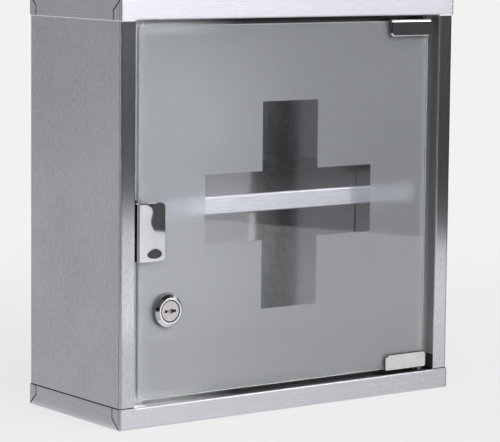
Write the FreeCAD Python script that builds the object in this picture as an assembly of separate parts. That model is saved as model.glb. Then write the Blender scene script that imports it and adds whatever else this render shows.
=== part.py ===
import FreeCAD, Part
import math
import os

# Small steel wall cabinet with a frosted glass door that has a clear cross.
# Frame: +Z up, door facing -Y, +X to the viewer's right, origin at the middle of the underside.

V = FreeCAD.Vector

# Overall size and sheet steel
WIDTH = 300.0
DEPTH = 120.0
HEIGHT = 300.0
SHEET = 0.8
BEND_INSIDE = 0.4
FIT_GAP = 0.1
CUT_OVERRUN = 1.0
SAME_PLACE = 0.001

# Front frame: stiles, the return behind them and the door stop
STILE_FACE = 12.7
RETURN_DEPTH = 8.8
SIDE_STOP = 10.5
CAP_STOP = 9.0

# Folded caps
CAP_RIM = 15.0
TAB_WIDTH = 9.2
TAB_KNEE = 8.2
SEAM_WIDTH = 0.7
SEAM_END = 0.9

# Back panel and its wall holes
BACK_RECESS = 3.3
WALL_HOLE_RADIUS = 3.25
WALL_HOLE_SPAN_X = 240.0
WALL_HOLE_SPAN_Z = 240.0

# Shelf
SHELF_TOP = 158.0
SHELF_LIP = 13.2
SHELF_LIP_SETBACK = 14.2
SHELF_FLANGE = 12.0
SHELF_CORNER = 2.5
SHELF_HEM = 2.2

# Door glass
GLASS = 4.0
GLASS_CORNER = 1.5
GLASS_SEAM = 0.8
FROST = 0.2
DOOR_GAP_LEFT = 2.5
DOOR_GAP_RIGHT = 10.1
DOOR_GAP_TOP = 4.0
DOOR_GAP_BOTTOM = 4.5
CROSS_SPAN = 150.0
CROSS_ARM = 50.0
CROSS_SHIFT = 2.7

# Hinge clamps on the glass and their pivots
CLAMP_LENGTH = 38.8
CLAMP_HEIGHT = 12.8
CLAMP_FRONT = 1.3
CLAMP_REAR = 2.4
CLAMP_WEB = 1.0
CLAMP_OVERHANG = 1.2
CLAMP_CORNER = 2.2
CLAMP_BEND = 2.4
CLAMP_BEVEL = 0.8
LINER = 0.4
LINER_SETBACK = 0.6
PIVOT_INSET = 2.4
PIVOT_SETBACK = 2.8
PIN_RADIUS = 1.5
PIN_COLLAR_RADIUS = 2.0
PIN_TIP = 0.4
BUSH_RADIUS = 2.3
BUSH_LENGTH = 5.0
BUSH_FLANGE_RADIUS = 3.2
BUSH_FLANGE = 0.8
PIVOT_PLAY = 0.05
COLLAR_PLAY = 0.3
SEAT_PLAY = 0.02

# Grub screws that hold the clamps and the strike plate
GRUB_RADIUS = 2.0
GRUB_SOCKET = 2.0
GRUB_SOCKET_DEPTH = 1.0
GRUB_SPACING = 20.0

# Strike plate clipped over the left edge of the glass
STRIKE_LENGTH = 41.4
STRIKE_FACE = 23.0
STRIKE_FRONT = 1.3
STRIKE_REAR = 1.5
STRIKE_WEB = 1.0
STRIKE_RISE = 118.2
STRIKE_CORNER = 3.5
STRIKE_BEND = 1.8
STRIKE_BEVEL = 0.5
STRIKE_GRUB_DROP = 12.0

# Lock
LOCK_INSET = 25.2
LOCK_RISE = 61.9
LOCK_HOLE_RADIUS = 9.4
BEZEL_RADIUS = 11.5
BEZEL_FACE_RADIUS = 9.25
BEZEL_STEP = 0.6
BEZEL_STAND = 3.0
BEZEL_ROUND = 0.5
BEZEL_LIP = 0.35
BARREL_RADIUS = 9.0
PLUG_HEAD_RADIUS = 7.5
PLUG_HEAD = 2.0
PLUG_HEAD_SINK = 0.25
PLUG_EDGE = 0.3
PLUG_RADIUS = 6.0
PLUG_PLAY = 0.05
KEYWAY_WIDTH = 9.4
KEYWAY_HEIGHT = 2.0
KEYWAY_DEPTH = 9.0
KEYWAY_EYE_RADIUS = 2.2
KEYWAY_EYE_DEPTH = 1.2
WAFER_WIDTH = 3.2
WAFER_THICKNESS = 0.9
WAFER_PITCH = 2.2
WAFER_COUNT = 3
WAFER_SHIFT = 0.9
WAFER_SETBACK = 1.6
GASKET = 0.4
GASKET_RADIUS = 11.1
WASHER = 0.8
WASHER_RADIUS = 12.4
NUT_ACROSS = 22.0
NUT = 4.0
CAM = 1.6
CAM_LENGTH = 25.0
CAM_WIDTH = 13.0
CAM_TIP_WIDTH = 10.0
CAM_CLEARANCE = 1.0
CAM_PLAY = 0.3
CAM_SQUARE = 6.0
CAM_WASHER = 0.8
CAM_WASHER_RADIUS = 5.0
CAM_SCREW_RADIUS = 1.5
CAM_SCREW_LENGTH = 6.0
CAM_SCREW_HEAD_RADIUS = 3.2
CAM_SCREW_HEAD = 2.0

# Push latch behind the strike plate, on an angle bracket
LATCH_AXIS_X_INSET = 15.8
LATCH_DROP = 1.0
LATCH_WIDTH = 14.0
LATCH_HEIGHT = 13.2
LATCH_LENGTH = 34.0
LATCH_FACE_SETBACK = 2.4
LATCH_CORNER = 1.2
LATCH_NOSE_WALL = 2.0
LATCH_BORE_RADIUS = 5.2
LATCH_EAR = 8.0
LATCH_EAR_THICKNESS = 3.0
LATCH_EAR_LENGTH = 14.0
LATCH_EAR_SETBACK = 12.0
LATCH_CAP = 3.0
PLUNGER_RADIUS = 4.5
PLUNGER_COLLAR = 2.0
PLUNGER_SHAFT = 20.0
PLUNGER_TAIL_RADIUS = 2.2
PLUNGER_TAIL = 6.0
PLUNGER_PLAY = 0.05
LATCH_TRAVEL = 2.5
MAGNET_RADIUS = 3.5
MAGNET = 2.4
MAGNET_PROUD = 0.3
MAGNET_GAP = 0.3
SPRING_WIRE_RADIUS = 0.45
SPRING_RADIUS = 3.4
SPRING_TURNS = 3
SPRING_SEAT_GAP = 0.3
BRACKET_FOOT = 15.0
BRACKET_LENGTH = 38.0
BRACKET_SETBACK = 6.4
LATCH_SCREW_RADIUS = 1.5
LATCH_SCREW_LENGTH = 8.0
LATCH_SCREW_HEAD_RADIUS = 2.8
LATCH_SCREW_HEAD = 1.8
SCREW_HOLE_PLAY = 0.15

# Planes and edges worked out from the sizes above
shell_x = WIDTH / 2 - SHEET
inner_x = shell_x - SHEET
open_x = shell_x - STILE_FACE
front_y = -DEPTH / 2 + SHEET
stop_y = front_y + RETURN_DEPTH
shell_back_y = DEPTH / 2 - SHEET - BEND_INSIDE
panel_y = shell_back_y - BACK_RECESS - SHEET
shell_low_z = SHEET + BEND_INSIDE
shell_high_z = HEIGHT - shell_low_z
bend_outside = BEND_INSIDE + SHEET

glass_left = -open_x + DOOR_GAP_LEFT
glass_right = open_x - DOOR_GAP_RIGHT
glass_low = CAP_RIM + DOOR_GAP_BOTTOM
glass_high = HEIGHT - CAP_RIM - DOOR_GAP_TOP
glass_back = front_y + GLASS
frost_back = glass_back + FROST
cross_x = (glass_left + glass_right) / 2 + CROSS_SHIFT
door_mid_z = (glass_low + glass_high) / 2

pivot_x = glass_right - PIVOT_INSET
pivot_y = front_y + PIVOT_SETBACK
clamp_right = glass_right + CLAMP_OVERHANG
clamp_left = clamp_right - CLAMP_LENGTH
clamp_front = front_y - LINER - CLAMP_FRONT
clamp_back = frost_back + LINER + CLAMP_REAR

lock_x = glass_left + LOCK_INSET
lock_z = glass_low + LOCK_RISE
lock_face_y = front_y - BEZEL_STAND
bezel_back_y = front_y - GASKET
cam_front_y = stop_y + SHEET + CAM_CLEARANCE
barrel_end_y = cam_front_y - CAM_PLAY

strike_left = glass_left - LINER - STRIKE_WEB
strike_right = strike_left + STRIKE_FACE
strike_mid_z = glass_low + STRIKE_RISE
strike_back = frost_back + LINER + STRIKE_REAR

latch_x = glass_left + LATCH_AXIS_X_INSET
latch_z = strike_mid_z - LATCH_DROP
latch_face_y = stop_y + LATCH_FACE_SETBACK
latch_end_y = latch_face_y + LATCH_LENGTH
magnet_front_y = strike_back + MAGNET_GAP
plunger_front_y = magnet_front_y + MAGNET_PROUD
collar_front_y = plunger_front_y + PLUNGER_SHAFT
collar_back_y = collar_front_y + PLUNGER_COLLAR
ledge_top_z = latch_z - LATCH_HEIGHT / 2


# Points, boxes, rods and bent sheets

def along(axis, first, second, place):
    """Point with the two coordinates square to the axis in X, Y, Z order, and its place along it."""
    points = {"X": V(place, first, second), "Y": V(first, place, second), "Z": V(first, second, place)}
    return points[axis]


def box(x_low, x_high, y_low, y_high, z_low, z_high):
    return Part.makeBox(x_high - x_low, y_high - y_low, z_high - z_low, V(x_low, y_low, z_low))


def rod(axis, first, second, low, high, radius):
    return Part.makeCylinder(radius, high - low, along(axis, first, second, low), along(axis, 0, 0, 1))


def ring(axis, first, second, low, high, radius, hole_radius):
    hole = rod(axis, first, second, low - CUT_OVERRUN, high + CUT_OVERRUN, hole_radius)
    return rod(axis, first, second, low, high, radius).cut(hole)


def hexagon_bar(axis, first, second, low, high, across):
    """Six-sided bar, with its size across the flats."""
    corner = across / 2 / math.cos(math.pi / 6)
    points = []
    for step in range(7):
        angle = math.pi / 3 * (step % 6)
        points.append(along(axis, first + corner * math.cos(angle), second + corner * math.sin(angle), low))
    face = Part.Face(Part.makePolygon(points))
    return face.extrude(along(axis, 0, 0, high - low))


def edges_where(shape, test):
    """Straight or curved edges whose middle point and two ends pass the test."""
    chosen = []
    for edge in shape.Edges:
        middle = edge.valueAt((edge.FirstParameter + edge.LastParameter) / 2)
        ends = [vertex.Point for vertex in edge.Vertexes]
        if test(middle, ends):
            chosen.append(edge)
    return chosen


def edges_along(shape, axis):
    """Edges that run along the named axis."""
    index = "XYZ".index(axis)
    others = [place for place in range(3) if place != index]

    def runs_along(middle, ends):
        if len(ends) < 2:
            return False
        return all(abs(ends[0][place] - ends[1][place]) < SAME_PLACE for place in others)

    return edges_where(shape, runs_along)


def edges_in_plane(shape, axis, place):
    """Edges that lie in the plane square to the axis at that place."""
    index = "XYZ".index(axis)

    def lies_in(middle, ends):
        return all(abs(point[index] - place) < SAME_PLACE for point in ends + [middle])

    return edges_where(shape, lies_in)


def bent_side(path, offset, mid_radius):
    """Edges along one side of a bent sheet, and their two outer ends."""
    edges = []
    runs = [(path[i + 1] - path[i]).normalize() for i in range(len(path) - 1)]
    normals = [V(-run.y, run.x, 0) for run in runs]
    current = path[0] + normals[0] * offset
    start = current
    for i in range(1, len(path) - 1):
        turn = math.atan2(runs[i - 1].cross(runs[i]).z, runs[i - 1].dot(runs[i]))
        side = math.copysign(1, turn)
        reach = mid_radius * math.tan(abs(turn) / 2)
        arc_start = path[i] - runs[i - 1] * reach
        arc_end = path[i] + runs[i] * reach
        centre = arc_start + normals[i - 1] * mid_radius * side
        outward = (path[i] - centre).normalize()
        middle = centre + outward * (mid_radius - side * offset)
        first = arc_start + normals[i - 1] * offset
        last = arc_end + normals[i] * offset
        if (first - current).Length > SAME_PLACE:
            edges.append((current, first))
        edges.append((first, middle, last))
        current = last
    end = path[-1] + normals[-1] * offset
    edges.append((current, end))
    return edges, start, end


def bent_sheet(axis, low, high, places, thickness=SHEET, inside=BEND_INSIDE):
    """Sheet whose middle line follows the places in the plane square to the axis."""
    path = [V(first, second, 0) for first, second in places]
    mid_radius = inside + thickness / 2
    left, left_start, left_end = bent_side(path, thickness / 2, mid_radius)
    right, right_start, right_end = bent_side(path, -thickness / 2, mid_radius)
    runs = left + right + [(left_start, right_start), (left_end, right_end)]
    edges = []
    for run in runs:
        points = [along(axis, point.x, point.y, low) for point in run]
        if len(points) == 3:
            edges.append(Part.Arc(*points).toShape())
        else:
            edges.append(Part.makeLine(*points))
    face = Part.Face(Part.Wire(Part.__sortEdges__(edges)))
    return face.extrude(along(axis, 0, 0, high - low))


def distance_from(axis, first, second, point):
    """How far the point is from the line along the axis at those two coordinates."""
    return (point - along(axis, first, second, point["XYZ".index(axis)])).Length


def folded_front(block, axis, first, second, front, bend, bevel):
    """Rounds the fold along the axis, and bevels the rest of the front's outline."""
    fold = [edge for edge in edges_along(block, axis)
            if distance_from(axis, first, second, edge.CenterOfMass) < SAME_PLACE]
    block = block.makeFillet(bend, fold)
    outline = [edge for edge in edges_in_plane(block, "Y", front)
               if distance_from(axis, first, second, edge.CenterOfMass) > bend + SAME_PLACE]
    return block.makeChamfer(bevel, outline)


def mirrored(shape, axis, place=0):
    """The shape's mirror image in the plane square to the axis at that place."""
    return shape.mirror(along(axis, 0, 0, place), along(axis, 0, 0, 1))


def joined(shapes):
    return shapes[0].multiFuse(shapes[1:]).removeSplitter()


# Cabinet body

def left_shell():
    middle = SHEET / 2
    section = [
        (-shell_x + middle, shell_back_y),
        (-shell_x + middle, front_y + middle),
        (-open_x - middle, front_y + middle),
        (-open_x - middle, stop_y + middle),
        (-open_x + SIDE_STOP, stop_y + middle),
    ]
    return bent_sheet("Z", shell_low_z, shell_high_z, section)


def right_shell():
    return mirrored(left_shell(), "X")


def cap_tray():
    """Bottom tray with its floor and four rims, rounded where it is folded."""
    half_x = WIDTH / 2
    half_y = DEPTH / 2
    outer = box(-half_x, half_x, -half_y, half_y, 0, CAP_RIM)
    outer = outer.makeFillet(bend_outside, edges_along(outer, "Z") + edges_in_plane(outer, "Z", 0))
    inner = box(-shell_x, shell_x, front_y, half_y - SHEET, SHEET, CAP_RIM + CUT_OVERRUN)
    inner = inner.makeFillet(BEND_INSIDE, edges_along(inner, "Z") + edges_in_plane(inner, "Z", SHEET))
    return outer.cut(inner)


def cap_front_fold():
    """Return along the top of the front rim, and the door stop that stands up behind the glass."""
    middle = SHEET / 2
    rim_y = front_y - middle
    return_z = CAP_RIM - middle
    start_z = CAP_RIM - bend_outside
    return_half = open_x - FIT_GAP
    stop_half = open_x - SIDE_STOP - FIT_GAP
    ledge = [(rim_y, start_z), (rim_y, return_z), (stop_y - FIT_GAP, return_z)]
    stop_mid_y = stop_y + middle
    stop = [(rim_y, start_z), (rim_y, return_z), (stop_mid_y, return_z), (stop_mid_y, CAP_RIM + CAP_STOP)]
    return [bent_sheet("X", -return_half, return_half, ledge), bent_sheet("X", -stop_half, stop_half, stop)]


def cap_seam_cuts():
    """Thin slots where the folded corner tabs meet the side rims."""
    tab_y = DEPTH / 2 - TAB_WIDTH
    corner_y = DEPTH / 2 - SEAM_END
    route = [(tab_y, CAP_RIM + CUT_OVERRUN), (tab_y, TAB_KNEE), (corner_y, SEAM_END)]
    low = shell_x - CUT_OVERRUN
    high = WIDTH / 2 + CUT_OVERRUN
    cut = bent_sheet("X", low, high, route, SEAM_WIDTH, SEAM_WIDTH)
    cuts = [cut, mirrored(cut, "Y")]
    return cuts + [mirrored(one, "X") for one in cuts]


def bottom_cap():
    return_half = open_x - FIT_GAP
    notch = box(-return_half, return_half, -DEPTH / 2 - CUT_OVERRUN, front_y + FIT_GAP,
                CAP_RIM - bend_outside, CAP_RIM + CUT_OVERRUN)
    cap = joined([cap_tray().cut(notch)] + cap_front_fold())
    for seam in cap_seam_cuts():
        cap = cap.cut(seam)
    bush_hole = rod("Z", pivot_x, pivot_y, CAP_RIM - SHEET - CUT_OVERRUN, CAP_RIM + CUT_OVERRUN,
                    BUSH_RADIUS + SEAT_PLAY)
    return cap.cut(bush_hole)


def top_cap():
    return mirrored(bottom_cap(), "Z", HEIGHT / 2)


def back_panel():
    middle = SHEET / 2
    edge_x = inner_x - middle
    section = [
        (-edge_x, shell_back_y),
        (-edge_x, panel_y + middle),
        (edge_x, panel_y + middle),
        (edge_x, shell_back_y),
    ]
    panel = bent_sheet("Z", shell_low_z, shell_high_z, section)
    for x in (-WALL_HOLE_SPAN_X / 2, WALL_HOLE_SPAN_X / 2):
        for z in (HEIGHT / 2 - WALL_HOLE_SPAN_Z / 2, HEIGHT / 2 + WALL_HOLE_SPAN_Z / 2):
            panel = panel.cut(rod("Y", x, z, panel_y - CUT_OVERRUN, panel_y + SHEET + CUT_OVERRUN,
                                  WALL_HOLE_RADIUS))
    return panel


def shelf():
    middle = SHEET / 2
    lip_y = front_y + SHELF_LIP_SETBACK + middle
    rear_y = panel_y - middle
    plate_z = SHELF_TOP - middle
    lip_z = SHELF_TOP - SHELF_LIP + middle
    flange_z = SHELF_TOP - SHELF_FLANGE
    side_x = inner_x - middle
    front_to_back = [
        (lip_y + SHELF_HEM, lip_z),
        (lip_y, lip_z),
        (lip_y, plate_z),
        (rear_y, plate_z),
        (rear_y, flange_z),
    ]
    side_to_side = [(-side_x, flange_z), (-side_x, plate_z), (side_x, plate_z), (side_x, flange_z)]
    lip_half = inner_x - SHELF_CORNER
    long_sheet = bent_sheet("X", -lip_half, lip_half, front_to_back)
    cross_sheet = bent_sheet("Y", lip_y + SHELF_CORNER, rear_y - SHELF_CORNER, side_to_side)
    return joined([long_sheet, cross_sheet])


# Pivots at the right of the door

def hinge_bush_bottom():
    body = rod("Z", pivot_x, pivot_y, CAP_RIM - BUSH_LENGTH, CAP_RIM, BUSH_RADIUS)
    flange = rod("Z", pivot_x, pivot_y, CAP_RIM, CAP_RIM + BUSH_FLANGE, BUSH_FLANGE_RADIUS)
    hole = rod("Z", pivot_x, pivot_y, CAP_RIM - BUSH_LENGTH - CUT_OVERRUN,
               CAP_RIM + BUSH_FLANGE + CUT_OVERRUN, PIN_RADIUS + PIVOT_PLAY)
    return joined([body, flange]).cut(hole)


def hinge_bush_top():
    return mirrored(hinge_bush_bottom(), "Z", HEIGHT / 2)


def pivot_pin(web_inside_z, web_outside_z, rim_z):
    """Pin riveted in the clamp's web, with a collar that runs just clear of the bush."""
    down = math.copysign(1, rim_z - web_outside_z)
    tip_z = rim_z + down * BUSH_LENGTH
    collar_z = rim_z - down * (BUSH_FLANGE + COLLAR_PLAY)
    shank = rod("Z", pivot_x, pivot_y, min(web_inside_z, tip_z), max(web_inside_z, tip_z), PIN_RADIUS)
    shank = shank.makeChamfer(PIN_TIP, edges_in_plane(shank, "Z", tip_z))
    collar = rod("Z", pivot_x, pivot_y, min(web_outside_z, collar_z), max(web_outside_z, collar_z),
                 PIN_COLLAR_RADIUS)
    return joined([shank, collar])


def pivot_pin_bottom():
    inside_z = glass_low - LINER
    return pivot_pin(inside_z, inside_z - CLAMP_WEB, CAP_RIM)


def pivot_pin_top():
    inside_z = glass_high + LINER
    return pivot_pin(inside_z, inside_z + CLAMP_WEB, HEIGHT - CAP_RIM)


def glass_pocket(grow_y, grow_edge, right_x, left_x, low_z, high_z):
    """Block of the glass with its frosted layer, grown for the liner."""
    return box(left_x, right_x + grow_edge, front_y - grow_y, frost_back + grow_y, low_z, high_z)


def clamp_grub_places():
    middle_x = (clamp_left + clamp_right) / 2
    return [middle_x - GRUB_SPACING / 2, middle_x + GRUB_SPACING / 2]


def clamp_grub_z():
    return glass_low - LINER - CLAMP_WEB + CLAMP_HEIGHT / 2


def hinge_clamp_bottom():
    low = glass_low - LINER - CLAMP_WEB
    high = low + CLAMP_HEIGHT
    block = box(clamp_left, clamp_right, clamp_front, clamp_back, low, high)
    free = [edge for edge in edges_along(block, "Y") if edge.CenterOfMass.z > low + CLAMP_HEIGHT / 2]
    block = block.makeChamfer(CLAMP_CORNER, free)
    block = folded_front(block, "X", clamp_front, low, clamp_front, CLAMP_BEND, CLAMP_BEVEL)
    slot = glass_pocket(LINER, LINER, glass_right, clamp_left - CUT_OVERRUN, glass_low - LINER,
                        high + CUT_OVERRUN)
    clamp = block.cut(slot)
    clamp = clamp.cut(rod("Z", pivot_x, pivot_y, low - CUT_OVERRUN, glass_low, PIN_RADIUS + SEAT_PLAY))
    for x in clamp_grub_places():
        clamp = clamp.cut(rod("Y", x, clamp_grub_z(), frost_back, clamp_back + CUT_OVERRUN,
                              GRUB_RADIUS + SEAT_PLAY))
    return clamp


def clamp_liner_bottom():
    high = glass_low - LINER - CLAMP_WEB + CLAMP_HEIGHT - LINER_SETBACK
    outer = glass_pocket(LINER, LINER, glass_right, clamp_left + LINER_SETBACK, glass_low - LINER, high)
    free = [edge for edge in edges_along(outer, "Y") if edge.CenterOfMass.z > high - SAME_PLACE]
    outer = outer.makeChamfer(CLAMP_CORNER, free)
    inner = glass_pocket(0, 0, glass_right, clamp_left - CUT_OVERRUN, glass_low, high + CUT_OVERRUN)
    return outer.cut(inner)


def flipped_to_top(shape):
    """The bottom clamp's parts, turned over and set on the top edge of the glass."""
    return mirrored(shape, "Z", (glass_low + glass_high) / 2)


def hinge_clamp_top():
    return flipped_to_top(hinge_clamp_bottom())


def clamp_liner_top():
    return flipped_to_top(clamp_liner_bottom())


def grub_screw(x, z, seat_y, end_y):
    """Headless screw with a hexagon socket, its tip on the liner."""
    body = rod("Y", x, z, seat_y + SEAT_PLAY, end_y, GRUB_RADIUS)
    socket = hexagon_bar("Y", x, z, end_y - GRUB_SOCKET_DEPTH, end_y + CUT_OVERRUN, GRUB_SOCKET)
    return body.cut(socket)


def clamp_screws():
    screws = [grub_screw(x, clamp_grub_z(), frost_back + LINER, clamp_back) for x in clamp_grub_places()]
    screws += [flipped_to_top(screw) for screw in screws]
    return Part.makeCompound(screws)


# Door glass and its frosted face

def lock_hole(low, high):
    return rod("Y", lock_x, lock_z, low - CUT_OVERRUN, high + CUT_OVERRUN, LOCK_HOLE_RADIUS)


def door_glass():
    glass = box(glass_left, glass_right, front_y, glass_back, glass_low, glass_high)
    glass = glass.makeFillet(GLASS_CORNER, edges_along(glass, "Y"))
    faces = edges_in_plane(glass, "Y", front_y) + edges_in_plane(glass, "Y", glass_back)
    glass = glass.makeChamfer(GLASS_SEAM, faces)
    return glass.cut(lock_hole(front_y, glass_back))


def cross_outline(low, high):
    """Clear cross, a little to the hinge side of the pane's middle."""
    span = CROSS_SPAN / 2
    arm = CROSS_ARM / 2
    across = box(cross_x - span, cross_x + span, low, high, door_mid_z - arm, door_mid_z + arm)
    upright = box(cross_x - arm, cross_x + arm, low, high, door_mid_z - span, door_mid_z + span)
    return joined([across, upright])


def frosted_layer():
    layer = box(glass_left + GLASS_SEAM, glass_right - GLASS_SEAM, glass_back, frost_back,
                glass_low + GLASS_SEAM, glass_high - GLASS_SEAM)
    layer = layer.makeFillet(GLASS_CORNER - GLASS_SEAM, edges_along(layer, "Y"))
    layer = layer.cut(cross_outline(glass_back - CUT_OVERRUN, frost_back + CUT_OVERRUN))
    return layer.cut(lock_hole(glass_back, frost_back))


# Strike plate on the left edge of the glass

def strike_pocket(grow, edge_x, right_x, low_z, high_z):
    return box(edge_x, right_x, front_y - grow, frost_back + grow, low_z, high_z)


def strike_plate():
    low = strike_mid_z - STRIKE_LENGTH / 2
    high = strike_mid_z + STRIKE_LENGTH / 2
    front = front_y - LINER - STRIKE_FRONT
    block = box(strike_left, strike_right, front, strike_back, low, high)
    middle_x = (strike_left + strike_right) / 2
    free = [edge for edge in edges_along(block, "Y") if edge.CenterOfMass.x > middle_x]
    block = block.makeFillet(STRIKE_CORNER, free)
    block = folded_front(block, "Z", strike_left, front, front, STRIKE_BEND, STRIKE_BEVEL)
    slot = strike_pocket(LINER, glass_left - LINER, strike_right + CUT_OVERRUN, low - CUT_OVERRUN,
                         high + CUT_OVERRUN)
    grub_hole = rod("Y", latch_x, strike_mid_z - STRIKE_GRUB_DROP, frost_back, strike_back + CUT_OVERRUN,
                    GRUB_RADIUS + SEAT_PLAY)
    return block.cut(slot).cut(grub_hole)


def strike_liner():
    low = strike_mid_z - STRIKE_LENGTH / 2 + LINER_SETBACK
    high = strike_mid_z + STRIKE_LENGTH / 2 - LINER_SETBACK
    outer = strike_pocket(LINER, glass_left - LINER, strike_right - LINER_SETBACK - STRIKE_CORNER / 2,
                          low, high)
    inner = strike_pocket(0, glass_left, strike_right + CUT_OVERRUN, low - CUT_OVERRUN, high + CUT_OVERRUN)
    return outer.cut(inner)


def strike_screw():
    return grub_screw(latch_x, strike_mid_z - STRIKE_GRUB_DROP, frost_back + LINER, strike_back)


# Lock

def lock_body():
    bezel = rod("Y", lock_x, lock_z, bezel_back_y - BEZEL_STEP, bezel_back_y, BEZEL_RADIUS)
    cone_back = bezel_back_y - BEZEL_STEP
    cone = Part.makeCone(BEZEL_RADIUS, BEZEL_FACE_RADIUS, cone_back - lock_face_y,
                         along("Y", lock_x, lock_z, cone_back), V(0, -1, 0))
    barrel = rod("Y", lock_x, lock_z, bezel_back_y, barrel_end_y, BARREL_RADIUS)
    cone = cone.makeFillet(BEZEL_ROUND, edges_in_plane(cone, "Y", lock_face_y))
    body = joined([bezel, cone, barrel])
    head_seat = lock_face_y + PLUG_HEAD_SINK + PLUG_HEAD
    body = body.cut(rod("Y", lock_x, lock_z, lock_face_y - CUT_OVERRUN, head_seat,
                        PLUG_HEAD_RADIUS + PLUG_PLAY))
    mouth = [edge for edge in edges_in_plane(body, "Y", lock_face_y)
             if edge.Curve.Radius < PLUG_HEAD_RADIUS + BEZEL_LIP]
    body = body.makeChamfer(BEZEL_LIP, mouth)
    return body.cut(rod("Y", lock_x, lock_z, head_seat - CUT_OVERRUN, barrel_end_y + CUT_OVERRUN,
                        PLUG_RADIUS + PLUG_PLAY))


def lock_gasket():
    return ring("Y", lock_x, lock_z, bezel_back_y, front_y, GASKET_RADIUS, BARREL_RADIUS + FIT_GAP)


def lock_washer():
    return ring("Y", lock_x, lock_z, frost_back, frost_back + WASHER, WASHER_RADIUS, BARREL_RADIUS + FIT_GAP)


def lock_nut():
    low = frost_back + WASHER
    nut = hexagon_bar("Y", lock_x, lock_z, low, low + NUT, NUT_ACROSS)
    return nut.cut(rod("Y", lock_x, lock_z, low - CUT_OVERRUN, low + NUT + CUT_OVERRUN,
                       BARREL_RADIUS + SEAT_PLAY))


def keyway(front):
    half_width = KEYWAY_WIDTH / 2
    half_height = KEYWAY_HEIGHT / 2
    slot = box(lock_x - half_width, lock_x + half_width, front - CUT_OVERRUN, front + KEYWAY_DEPTH,
               lock_z - half_height, lock_z + half_height)
    eye = rod("Y", lock_x, lock_z, front - CUT_OVERRUN, front + KEYWAY_EYE_DEPTH, KEYWAY_EYE_RADIUS)
    return joined([slot, eye])


def lock_plug():
    front = lock_face_y + PLUG_HEAD_SINK
    head = rod("Y", lock_x, lock_z, front, front + PLUG_HEAD - PLUG_PLAY, PLUG_HEAD_RADIUS)
    head = head.makeChamfer(PLUG_EDGE, edges_in_plane(head, "Y", front))
    stem = rod("Y", lock_x, lock_z, front, cam_front_y, PLUG_RADIUS)
    half = CAM_SQUARE / 2
    square = box(lock_x - half, lock_x + half, cam_front_y, cam_front_y + CAM, lock_z - half, lock_z + half)
    plug = joined([head, stem, square]).cut(keyway(front))
    end = cam_front_y + CAM
    return plug.cut(rod("Y", lock_x, lock_z, end - CAM_SCREW_LENGTH, end + CUT_OVERRUN,
                        CAM_SCREW_RADIUS + SEAT_PLAY))


def lock_wafers():
    """Thin tumbler plates across the keyway, each reaching in a little further than the last."""
    front = lock_face_y + PLUG_HEAD_SINK + KEYWAY_EYE_DEPTH + WAFER_SETBACK
    half_height = KEYWAY_HEIGHT / 2 - SEAT_PLAY
    wafers = []
    for step in range(WAFER_COUNT):
        low = front + WAFER_PITCH * step
        middle = lock_x + WAFER_SHIFT * (-1) ** step
        wafers.append(box(middle - WAFER_WIDTH / 2, middle + WAFER_WIDTH / 2, low, low + WAFER_THICKNESS,
                          lock_z - half_height, lock_z + half_height))
    return Part.makeCompound(wafers)


def lock_cam():
    """Flat arm on the plug's square, pointing down when the lock is open."""
    back = cam_front_y + CAM
    hub = rod("Y", lock_x, lock_z, cam_front_y, back, CAM_WIDTH / 2)
    half = CAM_WIDTH / 2
    tip = CAM_TIP_WIDTH / 2
    end_z = lock_z - CAM_LENGTH
    outline = [
        V(lock_x - half, cam_front_y, lock_z),
        V(lock_x + half, cam_front_y, lock_z),
        V(lock_x + tip, cam_front_y, end_z),
        V(lock_x - tip, cam_front_y, end_z),
        V(lock_x - half, cam_front_y, lock_z),
    ]
    arm = Part.Face(Part.makePolygon(outline)).extrude(V(0, CAM, 0))
    tip_edges = [edge for edge in edges_along(arm, "Y") if edge.CenterOfMass.z < end_z + tip]
    arm = arm.makeFillet(tip / 2, tip_edges)
    square = CAM_SQUARE / 2 + SEAT_PLAY
    hole = box(lock_x - square, lock_x + square, cam_front_y - CUT_OVERRUN, back + CUT_OVERRUN,
               lock_z - square, lock_z + square)
    return joined([hub, arm]).cut(hole)


def cam_washer():
    low = cam_front_y + CAM
    return ring("Y", lock_x, lock_z, low, low + CAM_WASHER, CAM_WASHER_RADIUS, CAM_SCREW_RADIUS + FIT_GAP)


def screw(axis, first, second, seat, length, radius, head_radius, head):
    """Round-headed screw: the head stands on the seat, and the shank runs the other way."""
    up = math.copysign(1, head)
    shank = rod(axis, first, second, min(seat, seat - up * length), max(seat, seat - up * length), radius)
    cap = rod(axis, first, second, min(seat, seat + head), max(seat, seat + head), head_radius)
    cap = cap.makeFillet(abs(head) / 2, edges_in_plane(cap, axis, seat + head))
    half = head_radius / 2
    slot_half = head_radius / 8
    depth = abs(head) / 2
    low = seat + head - up * depth
    reach = along(axis, 0, 0, up * (depth + CUT_OVERRUN))
    slots = []
    for wide, narrow in ((half, slot_half), (slot_half, half)):
        points = [along(axis, first + a * wide, second + b * narrow, low)
                  for a, b in ((-1, -1), (1, -1), (1, 1), (-1, 1), (-1, -1))]
        slots.append(Part.Face(Part.makePolygon(points)).extrude(reach))
    return joined([shank, cap]).cut(joined(slots))


def cam_screw():
    seat = cam_front_y + CAM + CAM_WASHER
    length = CAM_SCREW_LENGTH + CAM_WASHER - FIT_GAP
    return screw("Y", lock_x, lock_z, seat, length, CAM_SCREW_RADIUS, CAM_SCREW_HEAD_RADIUS, CAM_SCREW_HEAD)


# Push latch

def latch_ear_places():
    reach = LATCH_WIDTH / 2 + LATCH_EAR / 2
    return [latch_x - reach, latch_x + reach]


def latch_ear_y():
    return latch_face_y + LATCH_EAR_SETBACK + LATCH_EAR_LENGTH / 2


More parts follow.
